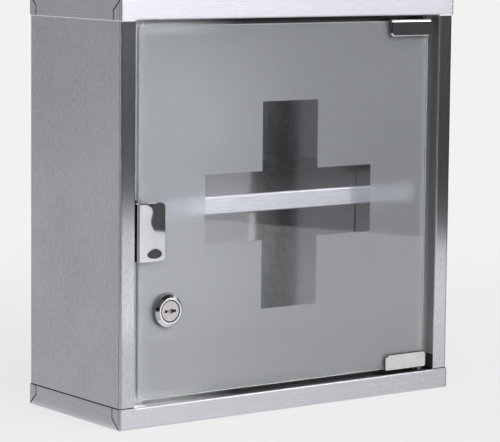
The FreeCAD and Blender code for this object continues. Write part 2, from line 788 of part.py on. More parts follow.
def latch_housing():
    half = LATCH_WIDTH / 2
    body = box(latch_x - half, latch_x + half, latch_face_y, latch_end_y, ledge_top_z,
               ledge_top_z + LATCH_HEIGHT)
    top = [edge for edge in edges_along(body, "Y") if edge.CenterOfMass.z > latch_z]
    body = body.makeFillet(LATCH_CORNER, top)
    ear_low = latch_face_y + LATCH_EAR_SETBACK
    ears = box(latch_x - half - LATCH_EAR, latch_x + half + LATCH_EAR, ear_low, ear_low + LATCH_EAR_LENGTH,
               ledge_top_z, ledge_top_z + LATCH_EAR_THICKNESS)
    ears = ears.makeFillet(LATCH_CORNER, edges_along(ears, "Z"))
    housing = joined([body, ears])
    for x in latch_ear_places():
        housing = housing.cut(rod("Z", x, latch_ear_y(), ledge_top_z - CUT_OVERRUN,
                                  ledge_top_z + LATCH_EAR_THICKNESS + CUT_OVERRUN,
                                  LATCH_SCREW_RADIUS + SCREW_HOLE_PLAY))
    bore_low = latch_face_y + LATCH_NOSE_WALL
    housing = housing.cut(rod("Y", latch_x, latch_z, bore_low, latch_end_y + CUT_OVERRUN, LATCH_BORE_RADIUS))
    return housing.cut(rod("Y", latch_x, latch_z, latch_face_y - CUT_OVERRUN, bore_low + CUT_OVERRUN,
                           PLUNGER_RADIUS + PLUNGER_PLAY))


def latch_end_cap():
    return rod("Y", latch_x, latch_z, latch_end_y - LATCH_CAP, latch_end_y, LATCH_BORE_RADIUS - SEAT_PLAY)


def latch_plunger():
    shaft = rod("Y", latch_x, latch_z, plunger_front_y, collar_back_y, PLUNGER_RADIUS)
    collar = rod("Y", latch_x, latch_z, collar_front_y, collar_back_y, LATCH_BORE_RADIUS - PLUNGER_PLAY)
    tail = rod("Y", latch_x, latch_z, collar_back_y, collar_back_y + PLUNGER_TAIL, PLUNGER_TAIL_RADIUS)
    plunger = joined([shaft, collar, tail])
    pocket_end = magnet_front_y + MAGNET
    return plunger.cut(rod("Y", latch_x, latch_z, plunger_front_y - CUT_OVERRUN, pocket_end,
                           MAGNET_RADIUS + SEAT_PLAY))


def latch_magnet():
    return rod("Y", latch_x, latch_z, magnet_front_y, magnet_front_y + MAGNET, MAGNET_RADIUS)


def latch_spring():
    """Coil spring at its pressed length, between the end cap and the plunger's collar."""
    low = collar_back_y + LATCH_TRAVEL + SPRING_SEAT_GAP + SPRING_WIRE_RADIUS
    high = latch_end_y - LATCH_CAP - SPRING_SEAT_GAP - SPRING_WIRE_RADIUS
    pitch = (high - low) / SPRING_TURNS
    helix = Part.makeHelix(pitch, high - low, SPRING_RADIUS)
    start = helix.Edges[0].valueAt(helix.Edges[0].FirstParameter)
    heading = helix.Edges[0].tangentAt(helix.Edges[0].FirstParameter)
    section = Part.Wire(Part.makeCircle(SPRING_WIRE_RADIUS, start, heading))
    coil = Part.Wire(helix.Edges).makePipeShell([section], True, True)
    coil.rotate(V(0, 0, 0), V(1, 0, 0), -90)
    coil.translate(V(latch_x, low, latch_z))
    return coil


def latch_bracket():
    """Angle with its foot on the side wall and a ledge under the latch."""
    middle = SHEET / 2
    ledge_z = ledge_top_z - middle
    outer_x = latch_x + LATCH_WIDTH / 2 + LATCH_EAR + LATCH_CORNER
    foot_x = -inner_x + middle
    section = [(foot_x, ledge_z - BRACKET_FOOT), (foot_x, ledge_z), (outer_x, ledge_z)]
    low = stop_y + BRACKET_SETBACK
    bracket = bent_sheet("Y", low, low + BRACKET_LENGTH, section)
    for x in latch_ear_places():
        bracket = bracket.cut(rod("Z", x, latch_ear_y(), ledge_z - SHEET - CUT_OVERRUN,
                                  ledge_top_z + CUT_OVERRUN, LATCH_SCREW_RADIUS + SEAT_PLAY))
    return bracket


def latch_screws():
    seat = ledge_top_z + LATCH_EAR_THICKNESS
    screws = [screw("Z", x, latch_ear_y(), seat, LATCH_SCREW_LENGTH, LATCH_SCREW_RADIUS,
                    LATCH_SCREW_HEAD_RADIUS, LATCH_SCREW_HEAD) for x in latch_ear_places()]
    return Part.makeCompound(screws)


PIECES = [
    left_shell, right_shell, top_cap, bottom_cap, back_panel, shelf,
    hinge_bush_top, hinge_bush_bottom,
    latch_bracket, latch_housing, latch_end_cap, latch_spring, latch_screws,
    door_glass, frosted_layer,
    hinge_clamp_top, hinge_clamp_bottom, clamp_liner_top, clamp_liner_bottom, clamp_screws,
    pivot_pin_top, pivot_pin_bottom,
    strike_plate, strike_liner, strike_screw,
    lock_body, lock_gasket, lock_washer, lock_nut,
    lock_plug, lock_wafers, lock_cam, cam_washer, cam_screw,
    latch_plunger, latch_magnet,
]

os.makedirs("parts", exist_ok=True)
for piece in PIECES:
    shape = piece()
    shape.exportStep("parts/" + piece.__name__ + ".step")
    print(piece.__name__, len(shape.Solids), round(shape.Volume, 1), shape.isValid())
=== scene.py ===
import math

import bmesh
import bpy
from bpy.props import FloatProperty, FloatVectorProperty, PointerProperty
from mathutils import Matrix, Vector


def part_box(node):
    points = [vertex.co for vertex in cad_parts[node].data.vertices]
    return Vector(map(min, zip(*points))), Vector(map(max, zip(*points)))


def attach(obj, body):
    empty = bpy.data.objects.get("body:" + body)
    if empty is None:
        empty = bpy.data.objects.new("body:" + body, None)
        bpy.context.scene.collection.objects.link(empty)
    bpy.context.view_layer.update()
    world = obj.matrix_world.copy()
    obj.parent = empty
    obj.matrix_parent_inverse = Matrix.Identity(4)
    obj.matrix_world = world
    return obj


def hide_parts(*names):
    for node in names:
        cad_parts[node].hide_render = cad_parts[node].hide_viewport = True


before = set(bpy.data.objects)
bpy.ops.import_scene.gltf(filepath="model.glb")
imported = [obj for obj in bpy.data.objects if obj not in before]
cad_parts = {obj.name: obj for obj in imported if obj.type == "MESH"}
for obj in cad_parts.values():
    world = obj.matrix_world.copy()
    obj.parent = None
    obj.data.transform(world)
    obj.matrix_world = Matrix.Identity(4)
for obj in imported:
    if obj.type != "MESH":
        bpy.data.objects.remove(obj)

bl_info = {
    "name": "Steel cabinet with a frosted door",
    "version": (1, 0, 0),
    "blender": (4, 5, 0),
    "location": "3D View > Sidebar > Cabinet",
    "description": "Finishes a small steel wall cabinet with a frosted glass door, and lights it",
    "category": "Object",
}

MM = 0.001

# Camera, as the object's own view was measured
CAMERA_PLACE = (-1.05727, -1.44353, 0.35017)
CAMERA_AZIMUTH = math.radians(36.348)
CAMERA_DOWN = math.radians(6.349)
CAMERA_ROLL = math.radians(0.565)
CAMERA_FOCAL_PIXELS = 2420.86
CAMERA_SHIFT = -0.052
PHOTO_WIDTH_PIXELS = 500
SENSOR_WIDTH = 36.0

# Grain of the brushed sheet, in lines for each metre along and across the brushing. The sheet that
# is brushed level has longer lines.
GRAIN_ALONG = 240.0
LEVEL_GRAIN_ALONG = 30.0
GRAIN_ACROSS = 1500.0
BROAD_ALONG = 20.0
BROAD_ACROSS = 420.0

# Share of the fine lines in the grain, of the grain in the sheet's tone, and of the streaks that are
# left where the sheet is brushed level
FINE_LINES = 0.9
GRAIN_IN_TONE = 0.75
LEVEL_STREAKS = 0.43

# Relief of the grain: its strength on the upright and on the level sheet, and its height
UPRIGHT_RELIEF = 0.05
LEVEL_RELIEF = 0.02
GRAIN_HEIGHT = 0.02 * MM

# Roughness of the sheet as shares of its own, from its darkest to its lightest tone, and how much
# darker the inner side's darkest tone is
STEEL_SPREAD = (1.15, 0.85)
INNER_DARKEST = 0.97

# Speckle from which on the smooth inner side is hazy, and where the haze is full
HAZY_FROM = 0.62
HAZY_TO = 0.92

# Clouds and specks of the sheet, the chrome and the glass, in features for each metre
SHEET_CLOUD = 14.0
SHEET_SPECKLE = 2600.0
CHROME_CLOUD = 90.0
CHROME_SPOTS = 900.0
PANE_CLOUD = 25.0
FROST_CLOUD = 9.0
FROST_SPECKLE = 4000.0

# Roughness of the chrome as shares of its own, from clear to cloudy
CHROME_SPREAD = (0.7, 1.4)

# Plain finishes: clouds and specks for each metre, the darkest and the lightest tone, the relief's
# strength and height, and whether they are metal. Moulded pieces have specks of their own.
PLATED = dict(cloud=260.0, specks=2200.0, tones=(0.86, 1.08), relief=(0.08, 0.03 * MM), metallic=1.0)
SATIN = dict(cloud=300.0, specks=3200.0, tones=(0.92, 1.04), relief=(0.12, 0.02 * MM), metallic=1.0)
MOULDED = dict(cloud=120.0, tones=(0.9, 1.1), relief=(0.25, 0.05 * MM), metallic=0.0)

# Painted shade for narrow places that no light reaches, and the white of the painted highlight
# and painted light on the sheet's edges and folds
DEEP_SHADE = (0.01, 0.01, 0.01)
GROOVE_SHADE = (0.02, 0.02, 0.02)
PAINTED_LIGHT = (1.0, 1.0, 1.0)

# Share of the lamps' light that each face of the pane and of its frosted layer lets straight through,
# and the narrow gap between the two
PANE_SHADOW = 0.9
FROST_SHADOW = 0.15
FROST_GAP = 0.03 * MM

# Glass: how it bends and mirrors light, and how rough its polished and its ground faces are
PANE_IOR = 1.52
PANE_SPECULAR = 0.3
PANE_ROUGHNESS = 0.015
GROUND_ROUGHNESS = 0.55

# Frosted layer: how it bends light, how rough it is, how much light it passes, and its darkest tone
FROST_IOR = 1.3
FROST_ROUGHNESS = (0.6, 0.7)
FROST_THROUGH = 0.88
FROST_DARKEST = 0.94

# Cards that only reflections and rays through glass see: name, corner, run, rise, the axis that
# they change along, and their brightness at its low and its high end
CARDS = (
    ("dark_card_left", (0.1215, -2.0166, 0), (0.522, 1.089, 0), (0, 0, 0.45), "Z", 0.09, 0.25),
    ("dark_card_right", (0.6435, -0.9276, 0), (0.602, 1.256, 0), (0, 0, 0.45), "Z", 0.035, 0.12),
    ("softbox_card", (0.541, -1.881, 0.5965), (1.118, 0.843, 0), (-0.24, 0.319, 0.807), "X", 5.3, 3.95),
    ("grey_card", (-0.155, -0.5, 0.001), (0, 2.5, 0), (-2.0, 0, 0), "Y", 0.56, 0.52),
    ("grey_wall", (-2.2, 0.2, 0), (1.9, 2.2, 0), (0, 0, 1.2), "Z", 0.51, 0.2),
    ("black_front_left", (-2.1, -0.75, 0), (1.7, -1.1, 0), (0, 0, 0.55), "Z", 0.01, 0.01),
    ("grey_front_left", (-2.1, -0.75, 0.55), (1.7, -1.1, 0), (0.3, 0.3, 1.5), "Z", 0.09, 0.09),
    ("dark_front_right", (0.2, -2.3, 0.5), (2.2, 1.7, 0), (-0.4, 0.5, 1.9), "Z", 0.12, 0.12),
    ("dark_overhead", (-1.6, -1.5, 2.1), (3.2, 0, 0), (0, 1.2, 0.1), "Z", 0.03, 0.03),
    ("dark_floor", (-0.2, -0.45, 0.0009), (-1.4, 0, 0), (0, -1.6, 0), "Y", 0.2, 0.2),
    ("bright_floor", (0.02, -1.15, 0.0008), (0.6, 0, 0), (0, 0.8, 0), "X", 1.2, 0.84),
)

# Card on the floor close to the door, that only rays through its glass see
NEAR_CARD = ("near_floor", (-0.15, -0.55, 0.0007), (0.6, 0, 0), (0, 0.45, 0), "Y", 0.9, 1.12)

# Relief of the strike plate, from its own middle: its slope up on the left and on the right, where
# the one turns into the other, and bulges by place, radius across and up, and share of the depth
TILTS = (-0.003, 0.009)
TILT_FROM = -6 * MM
TILT_TO = 3 * MM
BULGES = (
    (-3.4 * MM, 20.0 * MM, 3.4 * MM, 4.4 * MM, 0.9),
    (0.6 * MM, -19.4 * MM, 5.4 * MM, 3.6 * MM, 1.1),
)

# Radii of the thin ring of painted shade between the lock's bezel and its plug
LOCK_GROOVE = 8.0 * MM
PLUG_FACE = 7.15 * MM

# Where the sheet metal changes its look
HALF_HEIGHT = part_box("top_cap")[1].z / 2
CAP_RIM = 15 * MM
SHELL_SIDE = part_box("right_shell")[1].x
SHELL_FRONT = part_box("right_shell")[0].y
SHELF_LIP_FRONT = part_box("shelf")[0].y
SHELF_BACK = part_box("shelf")[1].y
CAP_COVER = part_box("top_cap")[1].x - SHELL_SIDE
STRIKE_LOW, STRIKE_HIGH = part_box("strike_plate")

# The sheet's smooth inner side: how far in from the shells' sides it starts, how far in from the top
# and the underside, which is also how far behind the shelf it ends, and how far behind the faces of
# the stiles and of the shelf's lip it starts
WALL_SKIN = 0.3 * MM
OUTER_SKIN = 0.4 * MM
STILE_SKIN = 0.5 * MM
LIP_HEM = 2.5 * MM

# Folds behind the door's edges: from and to which depth behind the stiles' faces, how far to the
# side, how far in from the caps, and past which side those of the upper cap end
FOLD_FROM = 0.6 * MM
FOLD_TO = 9.9 * MM
FOLD_SIDE = 137 * MM
FOLD_BY_CAP = 26.5 * MM
UPPER_FOLD_SIDE = 127 * MM

# Shade in these folds: where the left one ends, from where to where the left one's shade turns into
# the right one's, the shade beside the strike plate, and from where to where it deepens by the caps
LEFT_FOLD_END = -125 * MM
SIDE_SHADE_AT = (-130 * MM, -120 * MM)
SIDE_SHADES = (0.0, 0.3)
PLATE_MARGIN = 1 * MM
PLATE_SHADE = 0.9
CAP_SHADE_AT = (-100 * MM, -45 * MM)
CAP_SHADES = (0.1, 0.92)

# Painted shade in the seam where the shells go into the caps, and a painted highlight on the edge
# under the upper cap, on a relief of its own: how thick the shells' outer faces count, how far seam
# and edge reach out of the caps, and the edge's relief
SEAM_SIDE_SKIN = 0.2 * MM
SEAM_FRONT_SKIN = 0.1 * MM
SEAM_RISE = 0.6 * MM
GLINT_DROP = 0.7 * MM
GLINT_RELIEF = 0.28 * MM

# Painted shade along the slots beside the caps' corner tabs, the same in front and behind: upright
# at this depth from the rim's edge to the knee, then slanted to the corner, with half the width of
# the shaded line
TAB_LINE = 50.8 * MM
TAB_KNEE = 8.2 * MM
TAB_SLOPE = (0.660, 0.751)
TAB_SHADE = 0.5 * MM

# Painted shade on the rims' cut edges: from and to which distance from the shells' sides, and
# from which distance from the cap's flat face
CUT_FROM = 0.1 * MM
CUT_TO = 0.7 * MM
CUT_BELOW_FACE = 1.5 * MM

# Line of painted shade along the rounded front corners, by the distance from the corner across
# and back together, and how dark it is
CORNER_LINE = (0.9 * MM, 1.8 * MM)
CORNER_SHADE = 0.4

# Lamps: place, target, width and height
KEY_LAMP = ((0.2, -1.6, 1.1), (0, 0, 0.2), 1.4, 0.9)
SIDE_LAMP = ((-0.85, -0.62, 0.62), (0, -0.06, 0.15), 0.6, 0.6)

# Floor: from and to which distance the object's shadow fades, how plain it is near the object, its
# colour in the shadow, and the number of its sides
SHADOW_FROM = 0.2
SHADOW_TO = 0.9
NEAR_PLAIN = 0.8
FLOOR_COLOUR = (0.82, 0.82, 0.825, 1.0)
FLOOR_SEGMENTS = 96


def colour_property(name, description, default):
    """Colour that a user may change, in linear light."""
    return FloatVectorProperty(name=name, description=description, default=default,
                               subtype="COLOR", size=3, min=0.0, max=1.0)


def share_property(name, description, default):
    """Share from none to all."""
    return FloatProperty(name=name, description=description, default=default,
                         subtype="FACTOR", min=0.0, max=1.0)


class SteelSettings(bpy.types.PropertyGroup):
    """Brushed sheet of the box, and plated steel of the small fasteners."""
    sheet: colour_property("Sheet", "Colour of the brushed sheet", (0.635, 0.63, 0.675))
    upright_roughness: share_property("Upright roughness", "Roughness where brushed upright", 0.2)
    level_roughness: share_property("Level roughness", "Roughness where brushed level", 0.29)
    inside_roughness: share_property("Inside roughness", "Roughness of the smooth inner side", 0.055)
    inside: colour_property("Inside", "Colour of the sheet's smooth inner side", (0.64, 0.63, 0.645))
    haze: share_property("Haze", "Roughness of the hazy spots of the inner side and of the folds", 0.42)
    recess: colour_property("Recess", "Colour of the shaded folds round the door", (0.04, 0.04, 0.045))
    brushing: share_property("Brushing", "How far a reflection spreads across the grain", 1.0)
    streaks: share_property("Streaks", "How much the grain's lines differ", 0.24)
    plated: colour_property("Plated", "Colour of the plated screws and cam", (0.56, 0.56, 0.57))
    pin: colour_property("Pin", "Colour of the darker, smoother pivot pins", (0.16, 0.16, 0.17))


class ChromeSettings(bpy.types.PropertyGroup):
    """Polished plating of the clamps, the strike plate and the lock."""
    plating: colour_property("Plating", "Colour of the polished plating", (0.70, 0.70, 0.715))
    roughness: share_property("Roughness", "Roughness of the polished plating", 0.07)
    pressed: share_property("Pressed", "Roughness of the strike plate's plating", 0.028)
    plug: colour_property("Plug", "Colour of the lock's satin plug", (0.71, 0.68, 0.675))
    wafers: colour_property("Wafers", "Colour of the wafers in the keyway", (0.4, 0.37, 0.32))
    dents: FloatProperty(name="Dents", description="Depth of the strike plate's soft dents",
                         default=0.2 * MM, unit="LENGTH", min=0.0)


class GlassSettings(bpy.types.PropertyGroup):
    """Pane of the door and its frosted back."""
    pane: colour_property("Pane", "Tint of the clear glass", (0.955, 0.97, 0.968))
    edge: colour_property("Edge", "Tint near the polished edges", (0.80, 0.90, 0.86))
    frost: colour_property("Frost", "Colour of the frosted face", (0.815, 0.825, 0.85))
    frost_rim: colour_property("Frost rim", "Colour of its rim beside the edges", (0.80, 0.81, 0.83))
    # Painted light: the frosted face's colour is lighter at its left end and darker at its right
    painted_left_light: FloatProperty(name="Painted left light", description="How much lighter the frosted face's left end is",
                          default=1.06, min=1.0, max=1.2)
    rim: FloatProperty(name="Rim", description="Width of the frosted face's rim", default=4 * MM,
                       unit="LENGTH", min=0.0)
    ground: FloatProperty(name="Ground", description="Width of the ground edges of the pane",
                          default=0.85 * MM, unit="LENGTH", min=0.0)
    ground_tint: colour_property("Ground tint", "Tint of the ground edges", (0.90, 0.93, 0.92))


class PlasticSettings(bpy.types.PropertyGroup):
    """Moulded latch, bushes and soft liners."""
    latch: colour_property("Latch", "Colour of the push latch", (0.30, 0.30, 0.31))
    bush: colour_property("Bush", "Colour of the pivot bushes", (0.03, 0.03, 0.032))
    liner: colour_property("Liner", "Colour of the soft liners", (0.03, 0.03, 0.03))
    magnet: colour_property("Magnet", "Colour of the latch magnet", (0.3, 0.3, 0.31))


class StageSettings(bpy.types.PropertyGroup):
    """Floor, lamps and cards round the object."""
    floor: FloatProperty(name="Floor", description="Radius of the floor", default=9.0,
                         unit="LENGTH", min=1.0)
    pale: share_property("Pale", "Brightness of the floor and of what is behind", 0.887)
    fill: share_property("Fill", "Soft light from all round", 0.48)
    key: FloatProperty(name="Key", description="Power of the high lamp in front",
                       default=18.0, min=0.0)
    side: FloatProperty(name="Side", description="Power of the lamp on the left",
                        default=3.0, min=0.0)


SETTINGS = {
    "cabinet_steel": SteelSettings,
    "cabinet_chrome": ChromeSettings,
    "cabinet_glass": GlassSettings,
    "cabinet_plastic": PlasticSettings,
    "cabinet_stage": StageSettings,
}


# Small helpers for nodes

def node(tree, kind, label=None, **values):
    """New node with its plain values set."""
    made = tree.nodes.new(kind)
    for name, value in values.items():
        setattr(made, name, value)
    if label:
        made.label = label
    return made


def join(tree, source, target):
    """Feeds one socket from another."""
    tree.links.new(source, target)


def feed(tree, value, target):
    """Feeds a socket from another, or sets it to a plain value."""
    if isinstance(value, bpy.types.NodeSocket):
        join(tree, value, target)
    else:
        target.default_value = value


def maths(tree, operation, first, second=None):
    """Maths on sockets or numbers. Returns the result's socket."""
    made = node(tree, "ShaderNodeMath", operation=operation)
    feed(tree, first, made.inputs[0])
    if second is not None:
        feed(tree, second, made.inputs[1])
    return made.outputs[0]


def times(tree, first, second):
    """Product of two sockets or numbers."""
    return maths(tree, "MULTIPLY", first, second)


def above(tree, value, limit):
    """1 where a value is above a limit, and 0 elsewhere."""
    return maths(tree, "GREATER_THAN", value, limit)


def below(tree, value, limit):
    """1 where a value is below a limit, and 0 elsewhere."""
    return maths(tree, "LESS_THAN", value, limit)


def spread(tree, value, low, high, to_low=0.0, to_high=1.0):
    """Maps a value's range to another one, held at its ends."""
    made = node(tree, "ShaderNodeMapRange", clamp=True)
    join(tree, value, made.inputs["Value"])
    for name, number in zip(("From Min", "From Max", "To Min", "To Max"), (low, high, to_low, to_high)):
        made.inputs[name].default_value = number
    return made.outputs["Result"]


def between(tree, value, low, high, soft=0.05 * MM):
    """Rises from 0 to 1 at the low end, and falls again at the high end."""
    rise = spread(tree, value, low - soft, low + soft)
    return times(tree, rise, spread(tree, value, high - soft, high + soft, 1.0, 0.0))


def mixed(tree, factor, first, second):
    """Mixes two numbers or sockets by a socket."""
    made = node(tree, "ShaderNodeMix", data_type="FLOAT")
    for socket, value in zip(made.inputs[:1] + made.inputs[2:4], (factor, first, second)):
        feed(tree, value, socket)
    return made.outputs[0]


def blended(tree, factor, first, second):
    """Mixes two colours by a socket."""
    made = node(tree, "ShaderNodeMix", data_type="RGBA")
    join(tree, factor, made.inputs["Factor"])
    for name, value in (("A", first), ("B", second)):
        socket = [s for s in made.inputs if s.name == name and s.type == "RGBA"][0]
        feed(tree, value if isinstance(value, bpy.types.NodeSocket) else (*value, 1.0), socket)
    return [s for s in made.outputs if s.type == "RGBA"][0]


def varied(tree, factor, tone, darkest, lightest):
    """Shades a colour by a socket, between two shares of itself."""
    return blended(tree, factor, tone * darkest, tone * lightest)


def group_of(name, inputs, outputs):
    """Empty node group with named sockets, and its input and output nodes."""
    tree = bpy.data.node_groups.new(name, "ShaderNodeTree")
    for socket, kind, default in inputs:
        made = tree.interface.new_socket(socket, in_out="INPUT", socket_type=kind)
        if default is not None:
            made.default_value = default
    for socket, kind in outputs:
        tree.interface.new_socket(socket, in_out="OUTPUT", socket_type=kind)
    return tree, node(tree, "NodeGroupInput"), node(tree, "NodeGroupOutput")


def effect(tree, build, place, **values):
    """Places a shared node group, made on first use, fed by a place vector and its own values."""
    shared = bpy.data.node_groups.get(EFFECTS[build]) or build()
    made = node(tree, "ShaderNodeGroup", node_tree=shared)
    join(tree, place, made.inputs["Place"])
    for name, value in values.items():
        made.inputs[name.replace("_", " ").capitalize()].default_value = value
    return made


def parts_of(tree, vector):
    """X, Y and Z of a vector, as three sockets."""
    made = node(tree, "ShaderNodeSeparateXYZ")
    join(tree, vector, made.inputs[0])
    return made.outputs


def noise(tree, place, scale, detail=2.0, roughness=0.5):
    """Noise texture fed by a place."""
    made = node(tree, "ShaderNodeTexNoise")
    join(tree, place, made.inputs["Vector"])
    feed(tree, scale, made.inputs["Scale"])
    made.inputs["Detail"].default_value = detail
    made.inputs["Roughness"].default_value = roughness
    return made.outputs["Fac"]


def brushed_grain():
    """Fine and broad lines of a brushed sheet. The place comes in already stretched along the grain."""
    tree, given, out = group_of(
        "Brushed grain",
        [("Place", "NodeSocketVector", None), ("Broad place", "NodeSocketVector", None)],
        [("Lines", "NodeSocketFloat"), ("Height", "NodeSocketFloat")])
    fine = noise(tree, given.outputs["Place"], 1.0, 3.0, 0.6)
    broad = noise(tree, given.outputs["Broad place"], 1.0, 2.0, 0.55)
    lines = maths(tree, "ADD", times(tree, fine, FINE_LINES),
                  times(tree, broad, 1 - FINE_LINES))
    join(tree, spread(tree, lines, 0.3, 0.7), out.inputs["Lines"])
    join(tree, fine, out.inputs["Height"])
    return tree


def soft_mottle():
    """Slow cloudy change over a surface, as handling and rolling leave it."""
    tree, given, out = group_of(
        "Soft mottle",
        [("Place", "NodeSocketVector", None), ("Scale", "NodeSocketFloat", 20.0)],
        [("Cloud", "NodeSocketFloat")])
    cloud = noise(tree, given.outputs["Place"], given.outputs["Scale"], 3.0)
    join(tree, spread(tree, cloud, 0.3, 0.7), out.inputs["Cloud"])
    return tree


def fine_speckle():
    """Fine even speckle of moulded, plated or etched surfaces."""
    tree, given, out = group_of(
        "Fine speckle",
        [("Place", "NodeSocketVector", None), ("Scale", "NodeSocketFloat", 1500.0)],
        [("Speckle", "NodeSocketFloat"), ("Height", "NodeSocketFloat")])
    specks = noise(tree, given.outputs["Place"], given.outputs["Scale"], 4.0, 0.65)
    join(tree, spread(tree, specks, 0.35, 0.65), out.inputs["Speckle"])
    join(tree, specks, out.inputs["Height"])
    return tree


def door_folds(tree, across, side, depth, height, rise):
    """Masks of the folds behind the door's edges and of the open left one, and how deep their painted
    shade is; the open left one gets painted light.
    """
    folds = times(tree, between(tree, depth, SHELL_FRONT + FOLD_FROM, SHELL_FRONT + FOLD_TO),
                  below(tree, side, FOLD_SIDE))
    by_caps = above(tree, rise, HALF_HEIGHT - FOLD_BY_CAP)
    past = times(tree, above(tree, side, UPPER_FOLD_SIDE), above(tree, height, HALF_HEIGHT))
    by_caps = times(tree, by_caps, maths(tree, "SUBTRACT", 1.0, past))
    left = below(tree, across, LEFT_FOLD_END)
    by_plate = between(tree, height, STRIKE_LOW.z - PLATE_MARGIN, STRIKE_HIGH.z + PLATE_MARGIN)
    beside = spread(tree, across, *SIDE_SHADE_AT, *SIDE_SHADES)
    beside = mixed(tree, times(tree, by_plate, left), beside, PLATE_SHADE)
    shade = mixed(tree, by_caps, beside, spread(tree, across, *CAP_SHADE_AT, *CAP_SHADES))
    open_left = times(tree, left, maths(tree, "SUBTRACT", 1.0, by_plate))
    return folds, open_left, shade


def cap_seams(tree, side, depth, height, rise):
    """Masks of the painted shade in the seam at the caps and of the painted highlight on the edge under
    the upper one, and its relief.
    """
    skin = maths(tree, "MAXIMUM", above(tree, side, SHELL_SIDE - SEAM_SIDE_SKIN),
                 below(tree, depth, SHELL_FRONT + SEAM_FRONT_SKIN))
    covered = above(tree, rise, HALF_HEIGHT - CAP_RIM)
    low_seam = below(tree, height, CAP_RIM + SEAM_RISE)
    seam = times(tree, skin, maths(tree, "MAXIMUM", covered, low_seam))
    edge = 2 * HALF_HEIGHT - CAP_RIM
    glint = times(tree, skin, above(tree, height, edge - GLINT_DROP))
    relief = spread(tree, height, edge - GLINT_DROP, edge, 0.0, GLINT_RELIEF)
    return seam, glint, relief


def tab_slots(tree, side, depth, rise):
    """Mask of the painted shade along the slots beside the caps' corner tabs and on the rims' cut edges.
    """
    back = maths(tree, "ABSOLUTE", depth)
    up = maths(tree, "SUBTRACT", HALF_HEIGHT, rise)
    off_line = maths(tree, "SUBTRACT", back, TAB_LINE)
    off_knee = maths(tree, "SUBTRACT", up, TAB_KNEE)
    straight = maths(tree, "ADD", maths(tree, "ABSOLUTE", off_line), below(tree, up, TAB_KNEE))
    slanted = maths(tree, "ADD", times(tree, off_line, TAB_SLOPE[0]), times(tree, off_knee, TAB_SLOPE[1]))
    slanted = maths(tree, "ADD", maths(tree, "ABSOLUTE", slanted), above(tree, up, TAB_KNEE))
    line = below(tree, maths(tree, "MINIMUM", straight, slanted), TAB_SHADE)
    cut = between(tree, side, SHELL_SIDE + CUT_FROM, SHELL_SIDE + CUT_TO)
    cut = times(tree, cut, above(tree, up, CUT_BELOW_FACE))
    slot = times(tree, maths(tree, "MAXIMUM", line, cut), below(tree, back, -SHELL_FRONT))
    return times(tree, slot, above(tree, side, SHELL_SIDE + CUT_FROM))


def corner_line(tree, side, depth, cover):
    """Mask of the line of painted shade along the rounded front corners."""
    inward = maths(tree, "SUBTRACT", maths(tree, "ADD", SHELL_SIDE, cover), side)
    rearward = maths(tree, "ADD", maths(tree, "SUBTRACT", depth, SHELL_FRONT), cover)
    return between(tree, maths(tree, "ADD", inward, rearward), *CORNER_LINE)


def sheet_zones():
    """Where a sheet is inside the box, in the folds round the door, in a seam, a slot or a corner."""
    names = ("Inside", "Recess", "Seam", "Glint", "Slot", "Fold", "Relief", "Folded", "Pale")
    tree, given, out = group_of(
        "Sheet zones",
        [("Place", "NodeSocketVector", None), ("Inside from", "NodeSocketFloat", 0.0),
         ("Cover", "NodeSocketFloat", 0.0)],
        [(name, "NodeSocketFloat") for name in names])
    across, depth, height = parts_of(tree, given.outputs["Place"])
    side = maths(tree, "ABSOLUTE", across)
    rise = maths(tree, "ABSOLUTE", maths(tree, "SUBTRACT", height, HALF_HEIGHT))

    walls = below(tree, side, SHELL_SIDE - WALL_SKIN)
    behind = above(tree, depth, given.outputs["Inside from"])
    within = times(tree, below(tree, rise, HALF_HEIGHT - OUTER_SKIN),
                   below(tree, depth, SHELF_BACK + OUTER_SKIN))
    inside = times(tree, within, times(tree, walls, behind))
    folds, open_left, shade = door_folds(tree, across, side, depth, height, rise)
    folded = times(tree, within, folds)
    recess = times(tree, folded, shade)
    pale = times(tree, folded, open_left)
    seam, glint, relief = cap_seams(tree, side, depth, height, rise)
    slot = tab_slots(tree, side, depth, rise)
    fold = corner_line(tree, side, depth, given.outputs["Cover"])
    for name, found in zip(names, (inside, recess, seam, glint, slot, fold, relief, folded, pale)):
        join(tree, found, out.inputs[name])
    return tree


def pressed_relief():
    """Relief of the pressed strike plate: a slight tilt each way and two soft bulges."""
    tree, given, out = group_of(
        "Pressed relief",
        [("Place", "NodeSocketVector", None), ("Dents", "NodeSocketFloat", 0.0002)],
        [("Height", "NodeSocketFloat")])
    across, _, height = parts_of(tree, given.outputs["Place"])
    middle = (STRIKE_LOW + STRIKE_HIGH) / 2
    tilt = spread(tree, across, middle.x + TILT_FROM, middle.x + TILT_TO, *TILTS)
    tilt.node.interpolation_type = "SMOOTHSTEP"
    total = times(tree, tilt, maths(tree, "SUBTRACT", middle.z, height))
    for x, z, radius_x, radius_z, share in BULGES:
        over = maths(tree, "DIVIDE", maths(tree, "SUBTRACT", across, middle.x + x), radius_x)
        up = maths(tree, "DIVIDE", maths(tree, "SUBTRACT", height, middle.z + z), radius_z)
        square = maths(tree, "ADD", times(tree, over, over), times(tree, up, up))
        bell = maths(tree, "EXPONENT", times(tree, square, -0.5))
        raised = times(tree, bell, times(tree, given.outputs["Dents"], share))
        total = maths(tree, "ADD", total, raised)
    join(tree, total, out.inputs["Height"])
    return tree


